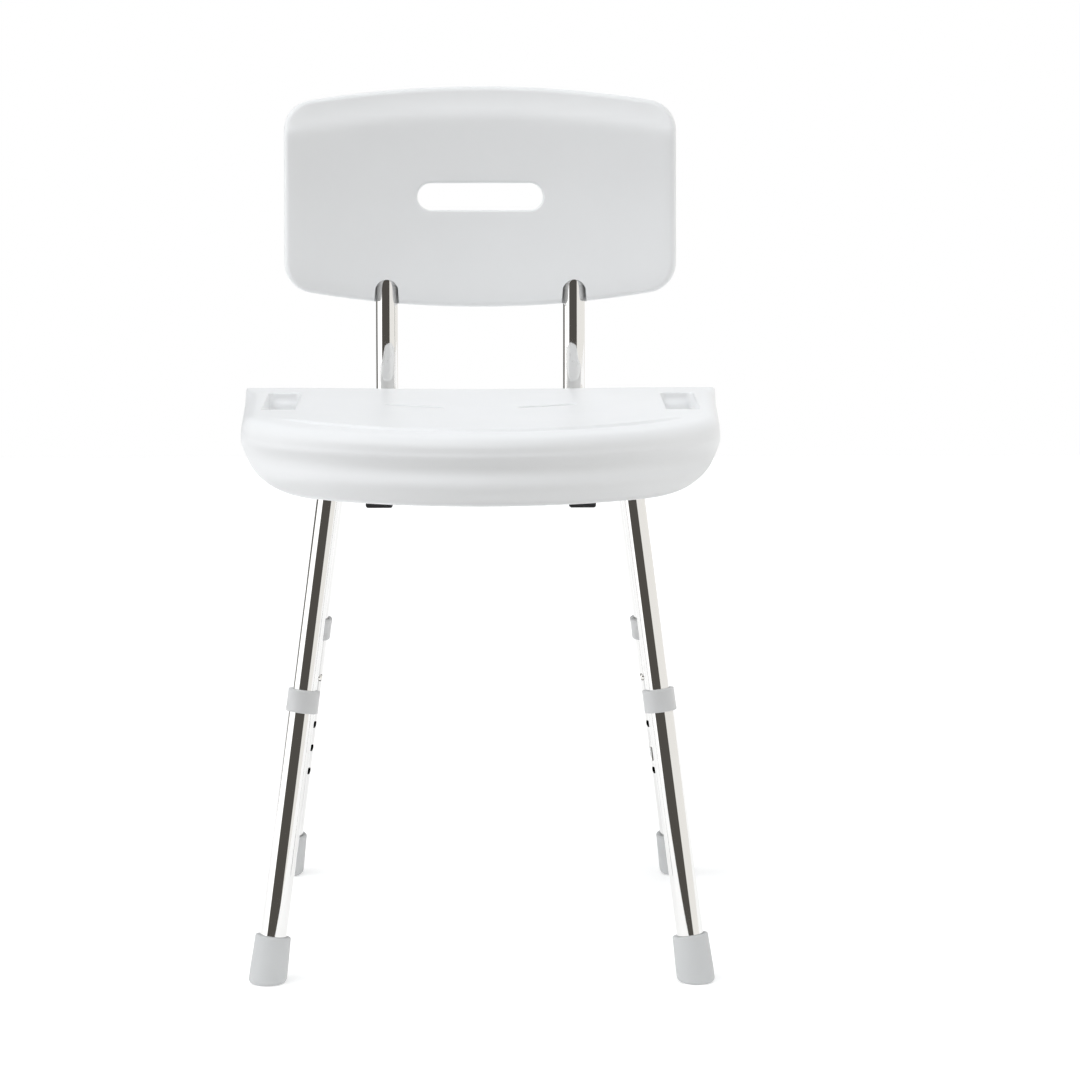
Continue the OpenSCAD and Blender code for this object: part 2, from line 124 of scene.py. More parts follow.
def add_object(name, data):
    """A new object in the scene."""
    made = bpy.data.objects.new(name, data)
    bpy.context.scene.collection.objects.link(made)
    return made


def closed_mesh(name, vertices, faces):
    """An object with that mesh, its faces turned outwards."""
    mesh = bpy.data.meshes.new(name)
    mesh.from_pydata([tuple(v) for v in vertices], [], faces)
    bm = bmesh.new()
    bm.from_mesh(mesh)
    bmesh.ops.recalc_face_normals(bm, faces=bm.faces)
    bm.to_mesh(mesh)
    bm.free()
    return add_object(name, mesh)


def resharpen(piece, smooth_angle=35):
    """Shades a piece smooth except across edges sharper than smooth_angle degrees."""
    piece.data.shade_smooth()
    piece.data.set_sharp_from_angle(angle=math.radians(smooth_angle))


def new_piece(name, vertices, faces, finish, smooth_angle=35):
    """A visible piece with its shading and its finish."""
    piece = closed_mesh(name, vertices, faces)
    resharpen(piece, smooth_angle)
    piece.data.materials.append(finish)
    return piece


def stand_for(piece, node, body):
    """Lets a piece stand for its CAD node on that body: hides the node and attaches the piece to the body."""
    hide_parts(node)
    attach(piece, body)


def bridge(faces, ring_a, ring_b):
    """Quads between two closed rings of vertex numbers of the same length."""
    n = len(ring_a)
    for i in range(n):
        j = (i + 1) % n
        faces.append((ring_a[i], ring_a[j], ring_b[j], ring_b[i]))


def circle(r, sides=TUBE_SIDES):
    """2D points round a circle about the origin."""
    turns = [2 * math.pi * i / sides for i in range(sides)]
    return [(r * math.cos(a), r * math.sin(a)) for a in turns]


def lathe(profile, sides=TUBE_SIDES):
    """Vertices and faces of a closed profile of (radius, height) points turned about Z."""
    vertices, faces, rings = [], [], []
    for r, z in profile:
        rings.append([len(vertices) + i for i in range(sides)])
        vertices += [Vector((x, y, z)) for x, y in circle(r, sides)]
    for a, b in zip(rings, rings[1:] + rings[:1], strict=True):
        bridge(faces, a, b)
    return vertices, faces


def spun(profile, sides=TUBE_SIDES):
    """As lathe(), for a profile whose first and last points lie on the axis."""
    vertices, faces = lathe(profile[1:-1], sides)
    last = len(vertices) - sides
    faces = faces[: -sides] if len(profile) > 3 else faces
    for centre, ring in ((profile[0][1], 0), (profile[-1][1], last)):
        vertices.append(Vector((0, 0, centre)))
        faces += [(ring + i, ring + (i + 1) % sides, len(vertices) - 1) for i in range(sides)]
    return vertices, faces


def arc(cx, cy, r, start, end, steps):
    """Points on an arc, angles in degrees."""
    turn = [math.radians(start + (end - start) * i / steps) for i in range(steps + 1)]
    return [(cx + r * math.cos(a), cy + r * math.sin(a)) for a in turn]


def cut(piece, cutters):
    """Cuts closed meshes out of a piece and removes them."""
    for cutter in cutters:
        m = piece.modifiers.new("cut", "BOOLEAN")
        m.operation = "DIFFERENCE"
        m.solver = "EXACT"
        m.object = cutter
    bpy.context.view_layer.update()
    evaluated = piece.evaluated_get(bpy.context.evaluated_depsgraph_get())
    mesh = bpy.data.meshes.new_from_object(evaluated)
    piece.modifiers.clear()
    old = piece.data
    piece.data = mesh
    bpy.data.meshes.remove(old)
    for cutter in cutters:
        bpy.data.objects.remove(cutter)


def nearest(line, p):
    """The nearest point on a polyline."""
    found = []
    for a, b in zip(line, line[1:], strict=False):
        d = b - a
        found.append(a + d * clamp((p - a).dot(d) / d.length_squared))
    return min(found, key=lambda q: (p - q).length)


def radial_normals(piece, line, radii, tolerance=0.02 * MM):
    """Exact normals on a tube's round walls, so that chrome reflects without a ripple near its holes.

    Faces with all their corners on one of the radii from the tube's line are round walls, and the others
    keep their own normals."""
    mesh = piece.data
    normals = []
    axis_points = [nearest(line, v.co) for v in mesh.vertices]
    distances = [(v.co - a).length for v, a in zip(mesh.vertices, axis_points, strict=True)]
    for face in mesh.polygons:
        wall = None
        for i, r in enumerate(radii):
            if all(abs(distances[v] - r) < tolerance for v in face.vertices):
                wall = i
        for v in face.vertices:
            if wall is None:
                normals.append(face.normal.copy())
            else:
                out = (mesh.vertices[v].co - axis_points[v]).normalized()
                normals.append(out if wall == 0 else -out)
    mesh.normals_split_custom_set(normals)


def pin_cutter(matrix, sides=40):
    """A cylinder along the matrix's +X, to cut a snap button's round hole with."""
    vertices, faces = [], []
    for x in (0, HOLE_CUT):
        vertices += [matrix @ Vector((x, u, v)) for u, v in circle(HOLE_R, sides)]
    ring = list(range(sides))
    far = [i + sides for i in ring]
    bridge(faces, ring, far)
    faces += [ring[::-1], far]
    mesh = bpy.data.meshes.new("cutter")
    mesh.from_pydata(vertices, [], faces)
    return add_object("cutter", mesh)


def swept_tube(name, line, radii, side):
    """A hollow chromed tube along a line of points in one plane, with rounded lips at both ends.

    radii are the outer and the inner one, and side is the unit vector square to the line's plane."""
    r_out, r_in = radii
    headings = []
    for i in range(len(line)):
        a, b = line[max(i - 1, 0)], line[min(i + 1, len(line) - 1)]
        headings.append((b - a).normalized())
    outer = [(p, h, r_out) for p, h in zip(line, headings, strict=True)]
    inner = [(p, h, r_in) for p, h in zip(line, headings, strict=True)]

    def lip_rings(at, heading, sign):
        """Round the lip at an end, from the outer wall to the inner one."""
        rings = []
        for a in [math.radians(a) for a in (0, 30, 60, 90)]:
            centre = at + heading * sign * TUBE_LIP * math.sin(a)
            rings.append((centre, heading, r_out - TUBE_LIP * (1 - math.cos(a))))
        return rings + [(p, h, r_out + r_in - r) for p, h, r in reversed(rings)]

    start = lip_rings(line[0] + headings[0] * TUBE_LIP, headings[0], -1)
    end = lip_rings(line[-1] - headings[-1] * TUBE_LIP, headings[-1], 1)
    loop = outer[1:-1] + end + inner[-2:0:-1] + start[::-1]
    vertices, faces, numbers = [], [], []
    for at, heading, r in loop:
        up = heading.cross(side)
        numbers.append([len(vertices) + i for i in range(TUBE_SIDES)])
        vertices += [at + (side * u + up * v) * r for u, v in circle(1)]
    for a, b in zip(numbers, numbers[1:] + numbers[:1], strict=True):
        bridge(faces, a, b)
    return new_piece(name, vertices, faces, CHROME)


# ---- materials ----


def material(name, base, roughness, metallic=0.0, grain=0.0, grain_scale=900, blotch=0.03, spread=0.05):
    """A procedural finish: a slight colour drift, uneven roughness and a fine surface grain."""
    m = bpy.data.materials.new(name)
    m.use_nodes = True
    nodes, links = m.node_tree.nodes, m.node_tree.links
    shader = nodes["Principled BSDF"]
    shader.inputs["Metallic"].default_value = metallic
    place = nodes.new("ShaderNodeTexCoord")

    def noise(scale, detail):
        node = nodes.new("ShaderNodeTexNoise")
        node.inputs["Scale"].default_value = scale
        node.inputs["Detail"].default_value = detail
        links.new(place.outputs["Object"], node.inputs["Vector"])
        return node.outputs["Fac"]

    colour = nodes.new("ShaderNodeValToRGB")
    low, high = colour.color_ramp.elements
    low.position, high.position = 0.35, 0.65
    low.color, high.color = (*[c * (1 - blotch) for c in base], 1), (*base, 1)
    links.new(noise(14, 3), colour.inputs["Fac"])
    links.new(colour.outputs["Color"], shader.inputs["Base Color"])
    wear = nodes.new("ShaderNodeMapRange")
    wear.inputs["To Min"].default_value = max(0.0, roughness - spread)
    wear.inputs["To Max"].default_value = roughness + spread
    links.new(noise(60, 5), wear.inputs["Value"])
    links.new(wear.outputs["Result"], shader.inputs["Roughness"])
    if grain:
        bump = nodes.new("ShaderNodeBump")
        bump.inputs["Strength"].default_value = grain
        bump.inputs["Distance"].default_value = 0.2 * MM
        links.new(noise(grain_scale, 2), bump.inputs["Height"])
        links.new(bump.outputs["Normal"], shader.inputs["Normal"])
    return m


WHITE = material("white_moulded_plastic", (0.83, 0.84, 0.85), 0.40, 0, 0.05, 1400, 0.012)
CHROME = material("chromed_tube", (0.80, 0.795, 0.785), 0.045, 1, blotch=0.01, spread=0.02)
COLLAR = material("collar_plastic", (0.60, 0.605, 0.61), 0.42, 0, 0.12, 1600, 0.03)
RUBBER = material("foot_rubber", (0.55, 0.56, 0.565), 0.62, 0, 0.35, 1800, 0.05)
DARK_PLASTIC = material("dark_cap_plastic", (0.035, 0.035, 0.037), 0.5, grain=0.2, blotch=0.2)
CLAMP_PLASTIC = material("clamp_plastic", (0.62, 0.62, 0.61), 0.48, grain=0.2, blotch=0.04)
ZINC = material("zinc_plated_steel", (0.62, 0.62, 0.60), 0.32, 1, grain=0.1, blotch=0.12, spread=0.1)
NICKEL = material("nickel_button", (0.80, 0.79, 0.76), 0.16, 1, blotch=0.03, spread=0.04)
SPRING = material("spring_steel", (0.36, 0.36, 0.37), 0.36, 1, grain=0.1, blotch=0.15, spread=0.1)


def build_tube(node, body, line, radii, side, holes):
    """A chromed tube that stands for a node, with a round hole along +X of each of the holes' frames."""
    tube = swept_tube(node + "_tube", line, radii, side)
    cut(tube, [pin_cutter(matrix) for matrix in holes])
    resharpen(tube)
    radial_normals(tube, line, radii)
    stand_for(tube, node, body)


# ---- plates with openings ----


def inside(point, loop):
    """Is a 2D point inside a closed loop?"""
    x, y = point
    hit = False
    for (x1, y1), (x2, y2) in zip(loop, loop[1:] + loop[:1], strict=True):
        if (y1 > y) != (y2 > y) and x < (x2 - x1) * (y - y1) / (y2 - y1) + x1:
            hit = not hit
    return hit


def clearance(point, loop):
    """The distance from a 2D point to a closed loop."""
    p = np.array(point)
    a = np.array(loop)
    b = np.roll(a, -1, axis=0)
    d = b - a
    t = np.clip(((p - a) * d).sum(1) / np.maximum((d * d).sum(1), 1e-12), 0, 1)
    return float(np.sqrt((((a + d * t[:, None]) - p) ** 2).sum(1).min()))


def plate(outer, holes, spacing):
    """Triangles that fill the outer loop around the holes, with a grid of points in between.

    Gives the 2D points and the triangles. The loops' own points come first, in their order."""
    points = [Vector(v) for loop in (outer, *holes) for v in loop]
    edges, first = [], 0
    for loop in (outer, *holes):
        n = len(loop)
        edges += [(first + i, first + (i + 1) % n) for i in range(n)]
        first += n
    rim = [tuple(v) for v in outer]
    gaps = [[tuple(v) for v in h] for h in holes]
    xs, ys = [v[0] for v in rim], [v[1] for v in rim]
    rows = int((max(ys) - min(ys)) / spacing)
    columns = int((max(xs) - min(xs)) / spacing)
    for r in range(1, rows + 1):
        for c in range(columns + 1):
            q = (min(xs) + (c + 0.5 * (r % 2)) * spacing, min(ys) + r * spacing)
            if not inside(q, rim) or any(inside(q, g) for g in gaps):
                continue
            if min(clearance(q, loop) for loop in (rim, *gaps)) > 0.55 * spacing:
                points.append(Vector(q))
    found, _, triangles, origins, _, _ = geometry.delaunay_2d_cdt(points, edges, [], 0, 1e-7)
    number = {}
    for i, source in enumerate(origins):
        for k in source:
            number[i] = k
    kept = []
    for t in triangles:
        centre = sum((found[i] for i in t), Vector((0, 0))) / len(t)
        if inside(tuple(centre), rim) and not any(inside(tuple(centre), g) for g in gaps):
            kept.append(tuple(number[i] for i in t))
    return points, kept


class Shell:
    """A closed mesh put together from plates and from chains of rings between them."""

    def __init__(self):
        self.vertices, self.faces = [], []

    def add_plate(self, outer, holes, spacing, lift):
        """Adds a plate, lifted to 3D by lift(x, y), and gives the vertex numbers of its loops."""
        first = len(self.vertices)
        points, triangles = plate(outer, holes, spacing)
        self.vertices += [lift(p[0], p[1]) for p in points]
        self.faces += [tuple(first + i for i in t) for t in triangles]
        loops = []
        for loop in (outer, *holes):
            loops.append([first + i for i in range(len(loop))])
            first += len(loop)
        return loops

    def add_ring(self, points):
        """Adds points and gives their vertex numbers."""
        first = len(self.vertices)
        self.vertices += points
        return [first + i for i in range(len(points))]

    def chain(self, start, rings, end):
        """Joins a loop to another through rings of points."""
        last = start
        for points in rings:
            ring = self.add_ring(points)
            bridge(self.faces, last, ring)
            last = ring
        bridge(self.faces, last, end)


def outward_normals(loop):
    """Unit normals of a closed anticlockwise 2D loop, pointing outwards."""
    n = len(loop)
    found = []
    for i in range(n):
        d = loop[(i + 1) % n] - loop[i - 1]
        found.append(Vector((d.y, -d.x)).normalized())
    return found


def slot_outline(half, r, turns, steps):
    """2D points round a slot with round ends about the origin, half its straight length to each side."""
    points = arc(half, 0, r, -90, 90, turns)
    points += [(half * (1 - i / steps), r) for i in range(1, 2 * steps)]
    return points + [(-x, -y) for x, y in points]


def quarter(steps):
    """(sin, cos) pairs round a quarter turn, without its start."""
    turns = [math.pi / 2 * i / steps for i in range(1, steps + 1)]
    return [(math.sin(a), math.cos(a)) for a in turns]


# ---- seat ----

SEAT_TILT = math.radians(2.3)
SEAT_WALL = 3.6 * MM
FRONT_R = 292 * MM
SEAT_CORNER_R = 60 * MM
SEAT_TAPER = 0.031
REAR_CORNER_R = 5 * MM
RIM_R, SIDE_RIM_R, REAR_RIM_R = 12 * MM, 13 * MM, 3 * MM
RIM_IN = 1.5 * MM
GRIP_X, GRIP_HALF, GRIP_CORNER_R = 196 * MM, 16 * MM, 7 * MM
EDGE_R = 1.6 * MM
ROLL_REACH, ROLL_DROP, ROLL_STEPS = 30 * MM, 6 * MM, 40
CREASE_STEP, CREASE_HALF = 2.8 * MM, 1.3 * MM
HOLLOW_Y, HOLLOW_REACH = 20 * MM, 205 * MM
HOLLOW_ENDS, HOLLOW_DEPTH = 1.5 * MM, 5 * MM
WAVE, WAVE_PERIOD, WAVE_START = 2.3 * MM, 33.5 * MM, 3 * MM
DRAIN_X, DRAIN_Y, DRAIN_LENGTH, DRAIN_R = 65 * MM, 42 * MM, 58 * MM, 6.5 * MM
DRAIN_TURN = math.radians(9)
SIDE_SKIRT_Z = 498 * MM
APRON_REACH, APRON_RISE, APRON_POWER = 185 * MM, 92 * MM, 1.6
SEAT_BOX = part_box("seat")
STANCE_Y = (middle("front_leg_frame").y + middle("rear_leg_frame").y) / 2


def flare(depth):
    """How far the skirt stands out from the deck's outline, that far below the rim."""
    return 3 * MM * (depth - 5 * MM) / (85 * MM) - RIM_IN


REAR_FLARE = flare(19 * MM)
DECK_FRONT = SEAT_BOX[0].y + flare(SEAT_BOX[1].z - SEAT_BOX[0].z)
DECK_REAR = SEAT_BOX[1].y - REAR_FLARE
DECK_HALF = SEAT_BOX[1].x - REAR_FLARE


def deck_outline(inset=0.0):
    """The deck's outline: a wide front arc, round corners, sides that widen to the rear, a straight rear."""
    arc_y = DECK_FRONT + FRONT_R
    slant = math.hypot(1, SEAT_TAPER)
    rear_y, rear_x = DECK_REAR - inset, DECK_HALF - inset * slant - SEAT_TAPER * inset
    rear_r = max(REAR_CORNER_R - inset, 0.8 * MM)
    # the centre of the round corner lies its radius inside both the front arc and the side line
    a = DECK_HALF - SEAT_CORNER_R * slant - SEAT_TAPER * DECK_REAR
    p, q = 1 + SEAT_TAPER**2, 2 * (a * SEAT_TAPER - arc_y)
    rest = a * a + arc_y**2 - (FRONT_R - SEAT_CORNER_R) ** 2
    cy = (-q - math.sqrt(q * q - 4 * p * rest)) / (2 * p)
    cx = a + SEAT_TAPER * cy
    turn = math.degrees(math.atan2(cy - arc_y, cx))
    side_turn = -math.degrees(math.atan(SEAT_TAPER))
    right = arc(0, arc_y, FRONT_R - inset, -90, turn, 44)[1:]
    right += arc(cx, cy, SEAT_CORNER_R - inset, turn, side_turn, 22)[1:]
    start, end_y = right[-1], rear_y - rear_r
    end_x = rear_x - SEAT_TAPER * rear_r
    for i in range(1, 41):
        t = i / 40
        right.append((start[0] + (end_x - start[0]) * t, start[1] + (end_y - start[1]) * t))
    right += arc(end_x - rear_r, end_y, rear_r, 0, 90, 8)[1:]
    width = right[-1][0]
    right += [(width * (1 - i / 32), rear_y) for i in range(1, 32)]
    left = [(-x, y) for x, y in reversed(right)]
    loop = [(0, DECK_FRONT + inset), *right, (0, rear_y), *left]
    return [Vector(p) for p in loop]


def rim_radius(p):
    """The rounding of the deck's edge: soft along the front and the sides, tight along the rear."""
    if p.y < STANCE_Y:
        return RIM_R + (SIDE_RIM_R - RIM_R) * smooth(p.y, STANCE_Y - 195 * MM, STANCE_Y - 90 * MM)
    return REAR_RIM_R + (SIDE_RIM_R - REAR_RIM_R) * smooth(p.y, STANCE_Y + 172 * MM, STANCE_Y + 110 * MM)


def deck_z(x, y):
    """The height of the seat's upper face: a tilted plane with a shallow hollow and a rolled front."""
    plane = SEAT_BOX[1].z - (y - DECK_FRONT) * math.sin(SEAT_TILT)
    across = max(0.0, 1 - (x / (0.80 * DECK_HALF)) ** 2) ** 2
    t = (y - STANCE_Y + HOLLOW_Y) / HOLLOW_REACH
    lengthwise = max(0.0, 1 - t * t) ** 1.5
    to_front = FRONT_R - math.hypot(x, y - DECK_FRONT - FRONT_R) if y < STANCE_Y else FRONT_R
    reach = clamp(1 - to_front / ROLL_REACH)
    fade = smooth(y, STANCE_Y - 80 * MM, STANCE_Y - 150 * MM)
    crease = CREASE_STEP * smooth(ROLL_REACH - to_front, -CREASE_HALF, CREASE_HALF)
    hollow = across * (HOLLOW_ENDS + HOLLOW_DEPTH * lengthwise)
    return plane - hollow - fade * (ROLL_DROP * reach**1.7 + crease)


def roll_width(p):
    """The width of the finely divided band along the deck's edge: the front roll, a sliver elsewhere."""
    return 0.3 * MM + ROLL_REACH * smooth(p.y, STANCE_Y - 90 * MM, STANCE_Y - 165 * MM)


def skirt_z(y):
    """The height of the skirt's lower edge, which climbs from the apron to the sides."""
    t = clamp((y - STANCE_Y + APRON_REACH) / APRON_RISE) ** APRON_POWER
    return SEAT_BOX[0].z + (SIDE_SKIRT_Z - SEAT_BOX[0].z) * (1 - math.cos(math.pi * t)) / 2


def apron_wave(depth, y):
    """The soft moulded ripple of the front apron, fading towards the sides and the rim."""
    fade = smooth(y, STANCE_Y - 70 * MM, STANCE_Y - 165 * MM)
    swell = WAVE * math.sin(2 * math.pi * (depth - WAVE_START) / WAVE_PERIOD)
    return fade * swell * smooth(depth, RIM_R - 2 * MM, RIM_R + 6 * MM)


def grip_loop(side, grow):
    """A hand grip's outline, grown by that much, anticlockwise."""
    low, high = STANCE_Y - 37 * MM - grow, STANCE_Y + 127 * MM + grow
    x0, x1 = side * GRIP_X - GRIP_HALF - grow, side * GRIP_X + GRIP_HALF + grow
    r = GRIP_CORNER_R + grow
    loop = []
    left, right, front, rear = x0 + r, x1 - r, low + r, high - r
    for cx, cy, a in ((right, front, -90), (right, rear, 0), (left, rear, 90), (left, front, 180)):
        loop += arc(cx, cy, r, a, a + 90, 8)
        if a in (0, 180):
            step = (left - right) / 5 * (1 if a == 0 else -1)
            loop += [(loop[-1][0] + step * i, loop[-1][1]) for i in range(1, 5)]
        else:
            step = (rear - front) / 16 * (1 if a == -90 else -1)
            loop += [(loop[-1][0], loop[-1][1] + step * i) for i in range(1, 16)]
    return [Vector(p) for p in loop]


def drain_loop(side, grow):
    """A drain slot's outline, grown by that much, anticlockwise."""
    points = slot_outline(DRAIN_LENGTH / 2 - DRAIN_R, DRAIN_R + grow, 12, 4)
    c, s = math.cos(side * DRAIN_TURN), math.sin(side * DRAIN_TURN)
    return [Vector((side * DRAIN_X + x * c - y * s, STANCE_Y + DRAIN_Y + x * s + y * c)) for x, y in points]


def start_gap(p, z, top):
    """What brings the skirt's upper end to the point where the deck's rounding stops."""
    gap = -RIM_IN - flare(rim_radius(p)) - apron_wave(rim_radius(p), p.y)
    return gap * smooth(top - z, 8 * MM, 0)


def skirt_rings(outline, normals):
    """The skirt's rings of points, down the outside, round the lower lip and up the inside."""
    steps, lip = 34, SEAT_WALL / 2
    back_side = deck_outline(SEAT_WALL + RIM_IN)
    outside, within, lips = ([[] for _ in range(n)] for n in (steps + 1, steps + 1, 3))
    for p, n, back in zip(outline, normals, back_side, strict=True):
        rim = deck_z(p.x, p.y)
        top, bottom = rim - rim_radius(p), skirt_z(p.y) + lip
        for k in range(steps + 1):
            z = top + (bottom - top) * k / steps
            depth = rim - z
            out = p + n * (flare(depth) + apron_wave(depth, p.y) + start_gap(p, z, top))
            outside[k].append(Vector((*out, z)))
            inner = back + n * (flare(depth) + RIM_IN)
            within[k].append(Vector((*inner, min(z, top - lip))))
        depth = rim - bottom
        centre = p + n * (flare(depth) + apron_wave(depth, p.y) * 0.5 - lip)
        for j, turn in enumerate((40, 90, 140)):
            a = math.radians(turn)
            q = centre + n * lip * math.cos(a)
            lips[j].append(Vector((*q, bottom - lip * math.sin(a))))
    return outside[1:] + lips + within[::-1]


def build_seat():
    """The moulded seat: deck, rolled rim, apron, grips and drains, as one closed shell."""
    shell = Shell()
    outline = deck_outline()
    normals = outward_normals(outline)
    radii = [rim_radius(p) for p in outline]

    def inset_by(amounts):
        return [p - n * d for p, n, d in zip(outline, normals, amounts, strict=True)]

    def sunk(loop, depth):
        """A loop of 2D points, that far below the deck's surface."""
        return [Vector((p.x, p.y, deck_z(p.x, p.y) - depth)) for p in loop]

    def rounded_edge(loop_of, side):
        """The rounded upper edge of a grip or a drain."""
        return [sunk(loop_of(side, EDGE_R * (1 - s)), EDGE_R * (1 - c)) for s, c in quarter(4)]

    grips = [grip_loop(s, EDGE_R) for s in (-1, 1)]
    drains = [drain_loop(s, EDGE_R) for s in (-1, 1)]
    roll_rings = []
    for k in range(ROLL_STEPS, 0, -1):
        widths = [RIM_IN + r + k / ROLL_STEPS * roll_width(p) for p, r in zip(outline, radii, strict=True)]
        roll_rings.append(sunk(inset_by(widths), 0))
    plate_edge = [Vector(p.xy) for p in roll_rings[0]]
    top = shell.add_plate(plate_edge, grips + drains, 7 * MM, lambda x, y: Vector((x, y, deck_z(x, y))))

    wall = SEAT_WALL
    under_edge = deck_outline(wall + 2 * RIM_IN)
    under_holes = [grip_loop(s, wall) for s in (-1, 1)] + [drain_loop(s, 0) for s in (-1, 1)]
    bottom = shell.add_plate(
        under_edge, under_holes, 13 * MM, lambda x, y: Vector((x, y, deck_z(x, y) - wall))
    )

    # the rim, the skirt and its inside
    rings = []
    for sine, cosine in quarter(8):
        ring = inset_by([RIM_IN + r * (1 - sine) for r in radii])
        pairs = zip(ring, radii, strict=True)
        rings.append([Vector((*p, deck_z(p.x, p.y) - r * (1 - cosine))) for p, r in pairs])
    shell.chain(top[0], roll_rings[1:] + rings + skirt_rings(outline, normals), bottom[0])

    # the hand grips, whose rear walls swell into a finger rest, and the drains
    for i, side in enumerate((-1, 1)):
        grip_rings = rounded_edge(grip_loop, side)
        inner_loop, outer_loop = grip_loop(side, 0), grip_loop(side, wall)
        rear = max(p.y for p in inner_loop)
        for share in (0.25, 0.42, 0.55, 0.68, 0.82, 0.93, 1.0):
            ring = []
            for p in inner_loop:
                z = deck_z(p.x, p.y) + (skirt_z(p.y) + wall / 2 - deck_z(p.x, p.y)) * share
                crown = max(0.0, 1 - ((p.x - side * GRIP_X) / GRIP_HALF) ** 2)
                near = max(0.0, 1 - (rear - p.y) / (4 * MM))
                swell = 5 * MM * clamp((share - 0.42) / 0.4) ** 0.6
                ring.append(Vector((p.x, p.y - swell * crown * near, z)))
            grip_rings.append(ring)
        lip = [a.lerp(b, 0.5) for a, b in zip(inner_loop, outer_loop, strict=True)]
        for points, rise in ((lip, 0), (outer_loop, wall / 2)):
            grip_rings.append([Vector((p.x, p.y, skirt_z(p.y) + rise)) for p in points])
        shell.chain(top[1 + i], grip_rings, bottom[1 + i])
        shell.chain(top[3 + i], rounded_edge(drain_loop, side), bottom[3 + i])


    piece = new_piece("seat_shell", shell.vertices, shell.faces, WHITE, 50)
    stand_for(piece, "seat", "frame")


def add_prism(vertices, faces, profile, place):
    """A closed prism from a 2D profile and its two ends, place(u, v, end)."""
    first, n = len(vertices), len(profile)
    for end in (0, 1):
        vertices += [place(u, v, end) for u, v in profile]
    a, b = list(range(first, first + n)), list(range(first + n, first + 2 * n))
    bridge(faces, a, b)
    faces += [tuple(a[::-1]), tuple(b)]


def build_seat_underside():
    """The ribs below the deck and the bosses that sit on the cross tubes."""
    vertices, faces = [], []
    low, thick, thin = 503 * MM, 1.5 * MM, 1.1 * MM
    into_deck = SEAT_WALL - 0.4 * MM

    def rib(start, end):
        """A rib that follows the deck's underside between two 2D points."""
        steps = 24
        along = (end - start) / steps
        side = Vector((-along.y, along.x)).normalized()
        rings = []
        for i in range(steps + 1):
            p = start + along * i
            z = deck_z(p.x, p.y) - into_deck
            ring = [(thick, z), (thin, low + 0.5 * MM), (thin * 0.4, low)]
            outline = ring + [(-h, v) for h, v in reversed(ring)]
            rings.append([Vector((*(p + side * h), v)) for h, v in outline])
        last = None
        for ring in rings:
            numbers = [len(vertices) + k for k in range(len(ring))]
            vertices.extend(ring)
            if last:
                bridge(faces, last, numbers)
            else:
                faces.append(numbers[::-1])
            last = numbers
        faces.append(last)

    for x in (-140, -25, 25, 140):
        rib(Vector((x * MM, STANCE_Y - 168 * MM)), Vector((x * MM, STANCE_Y + 173 * MM)))
    for y in (-95, -30, 105):
        rib(Vector((-174 * MM, STANCE_Y + y * MM)), Vector((174 * MM, STANCE_Y + y * MM)))

    for clamp_x in (-45 * MM, 45 * MM):
        for leg_frame in ("front_leg_frame", "rear_leg_frame"):
            tube_y, tube_z = cross_tube(leg_frame)
            top = deck_z(clamp_x, tube_y) - into_deck
            half, width, edge = 21 * MM, 10 * MM, 0.8 * MM
            profile = [(-half, top), (-half, tube_z + edge), (edge - half, tube_z)]
            profile += arc(0, tube_z, UPPER_R + 0.1 * MM, 180, 0, 24)
            profile += [(half - edge, tube_z), (half, tube_z + edge), (half, top)]

            def place(u, v, end, x=clamp_x, y=tube_y):
                return Vector((x + width * (2 * end - 1), y + u, v))

            add_prism(vertices, faces, profile, place)
    piece = new_piece("seat_ribs", vertices, faces, WHITE, 40)
    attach(piece, "frame")


# ---- leg frames ----


def cross_tube(leg_frame):
    """(y, z) of a leg frame's cross tube, which is the highest part of the frame."""
    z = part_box(leg_frame)[1].z - UPPER_R
    m = leg_matrix(leg_frame.split("_")[0] + "_left")
    base, up = m.translation, m.col[2].to_3d()
    return base.y + up.y * (z - base.z) / up.z, z


def leg_frame_line(leg_frame):
    """The centre line of an inverted U: up the left leg, across and down the right leg."""
    name = leg_frame.split("_")[0]
    cross_z = cross_tube(leg_frame)[1]
    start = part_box(leg_frame)[0].z
    points = []
    for leg_side, sign in SIDES.items():
        m = leg_matrix(name + "_" + leg_side)
        base, up = m.translation, m.col[2].to_3d()
        tip = UPPER_R * math.sqrt(1 - up.z**2)
        end = base + up * ((start + tip - base.z) / up.z)
        corner = base + up * ((cross_z - base.z) / up.z)
        up = (corner - end).normalized()
        side = Vector((-sign, 0, 0))
        turn = up.angle(side)
        setback = CROSS_BEND_R * math.tan(turn / 2)
        a, b = corner - up * setback, corner + side * setback
        centre = a + (side - up * side.dot(up)).normalized() * CROSS_BEND_R
        out_a = (a - centre).normalized()
        out_b = (b - centre).normalized()
        whole = out_a.angle(out_b)
        bend = []
        for i in range(25):
            w = whole * i / 24
            direction = (out_a * math.sin(whole - w) + out_b * math.sin(w)) / math.sin(whole)
            bend.append(centre + direction * CROSS_BEND_R)
        points.append(between(end, a, 8)[:-1] + bend)
    return points[0] + between(points[0][-1], points[1][-1], 6)[1:-1] + points[1][::-1]


def build_leg_frame(leg_frame):
    """A leg frame's bent tube with a snap button's hole in each leg."""
    line = leg_frame_line(leg_frame)
    name = leg_frame.split("_")[0]
    plane = (line[len(line) // 2] - line[0]).cross(line[-1] - line[0]).normalized()
    build_tube(leg_frame, "frame", line, UPPER_RADII, plane, [button_matrix(name + "_" + s) for s in SIDES])


# ---- telescopic legs ----


def button_matrix(leg):
    """A leg's frame moved up to its snap button: +X is the way that the button points."""
    m = leg_matrix(leg)
    button = m.inverted() @ middle("leg_button_" + leg)
    return m @ Matrix.Translation((0, 0, button.z))


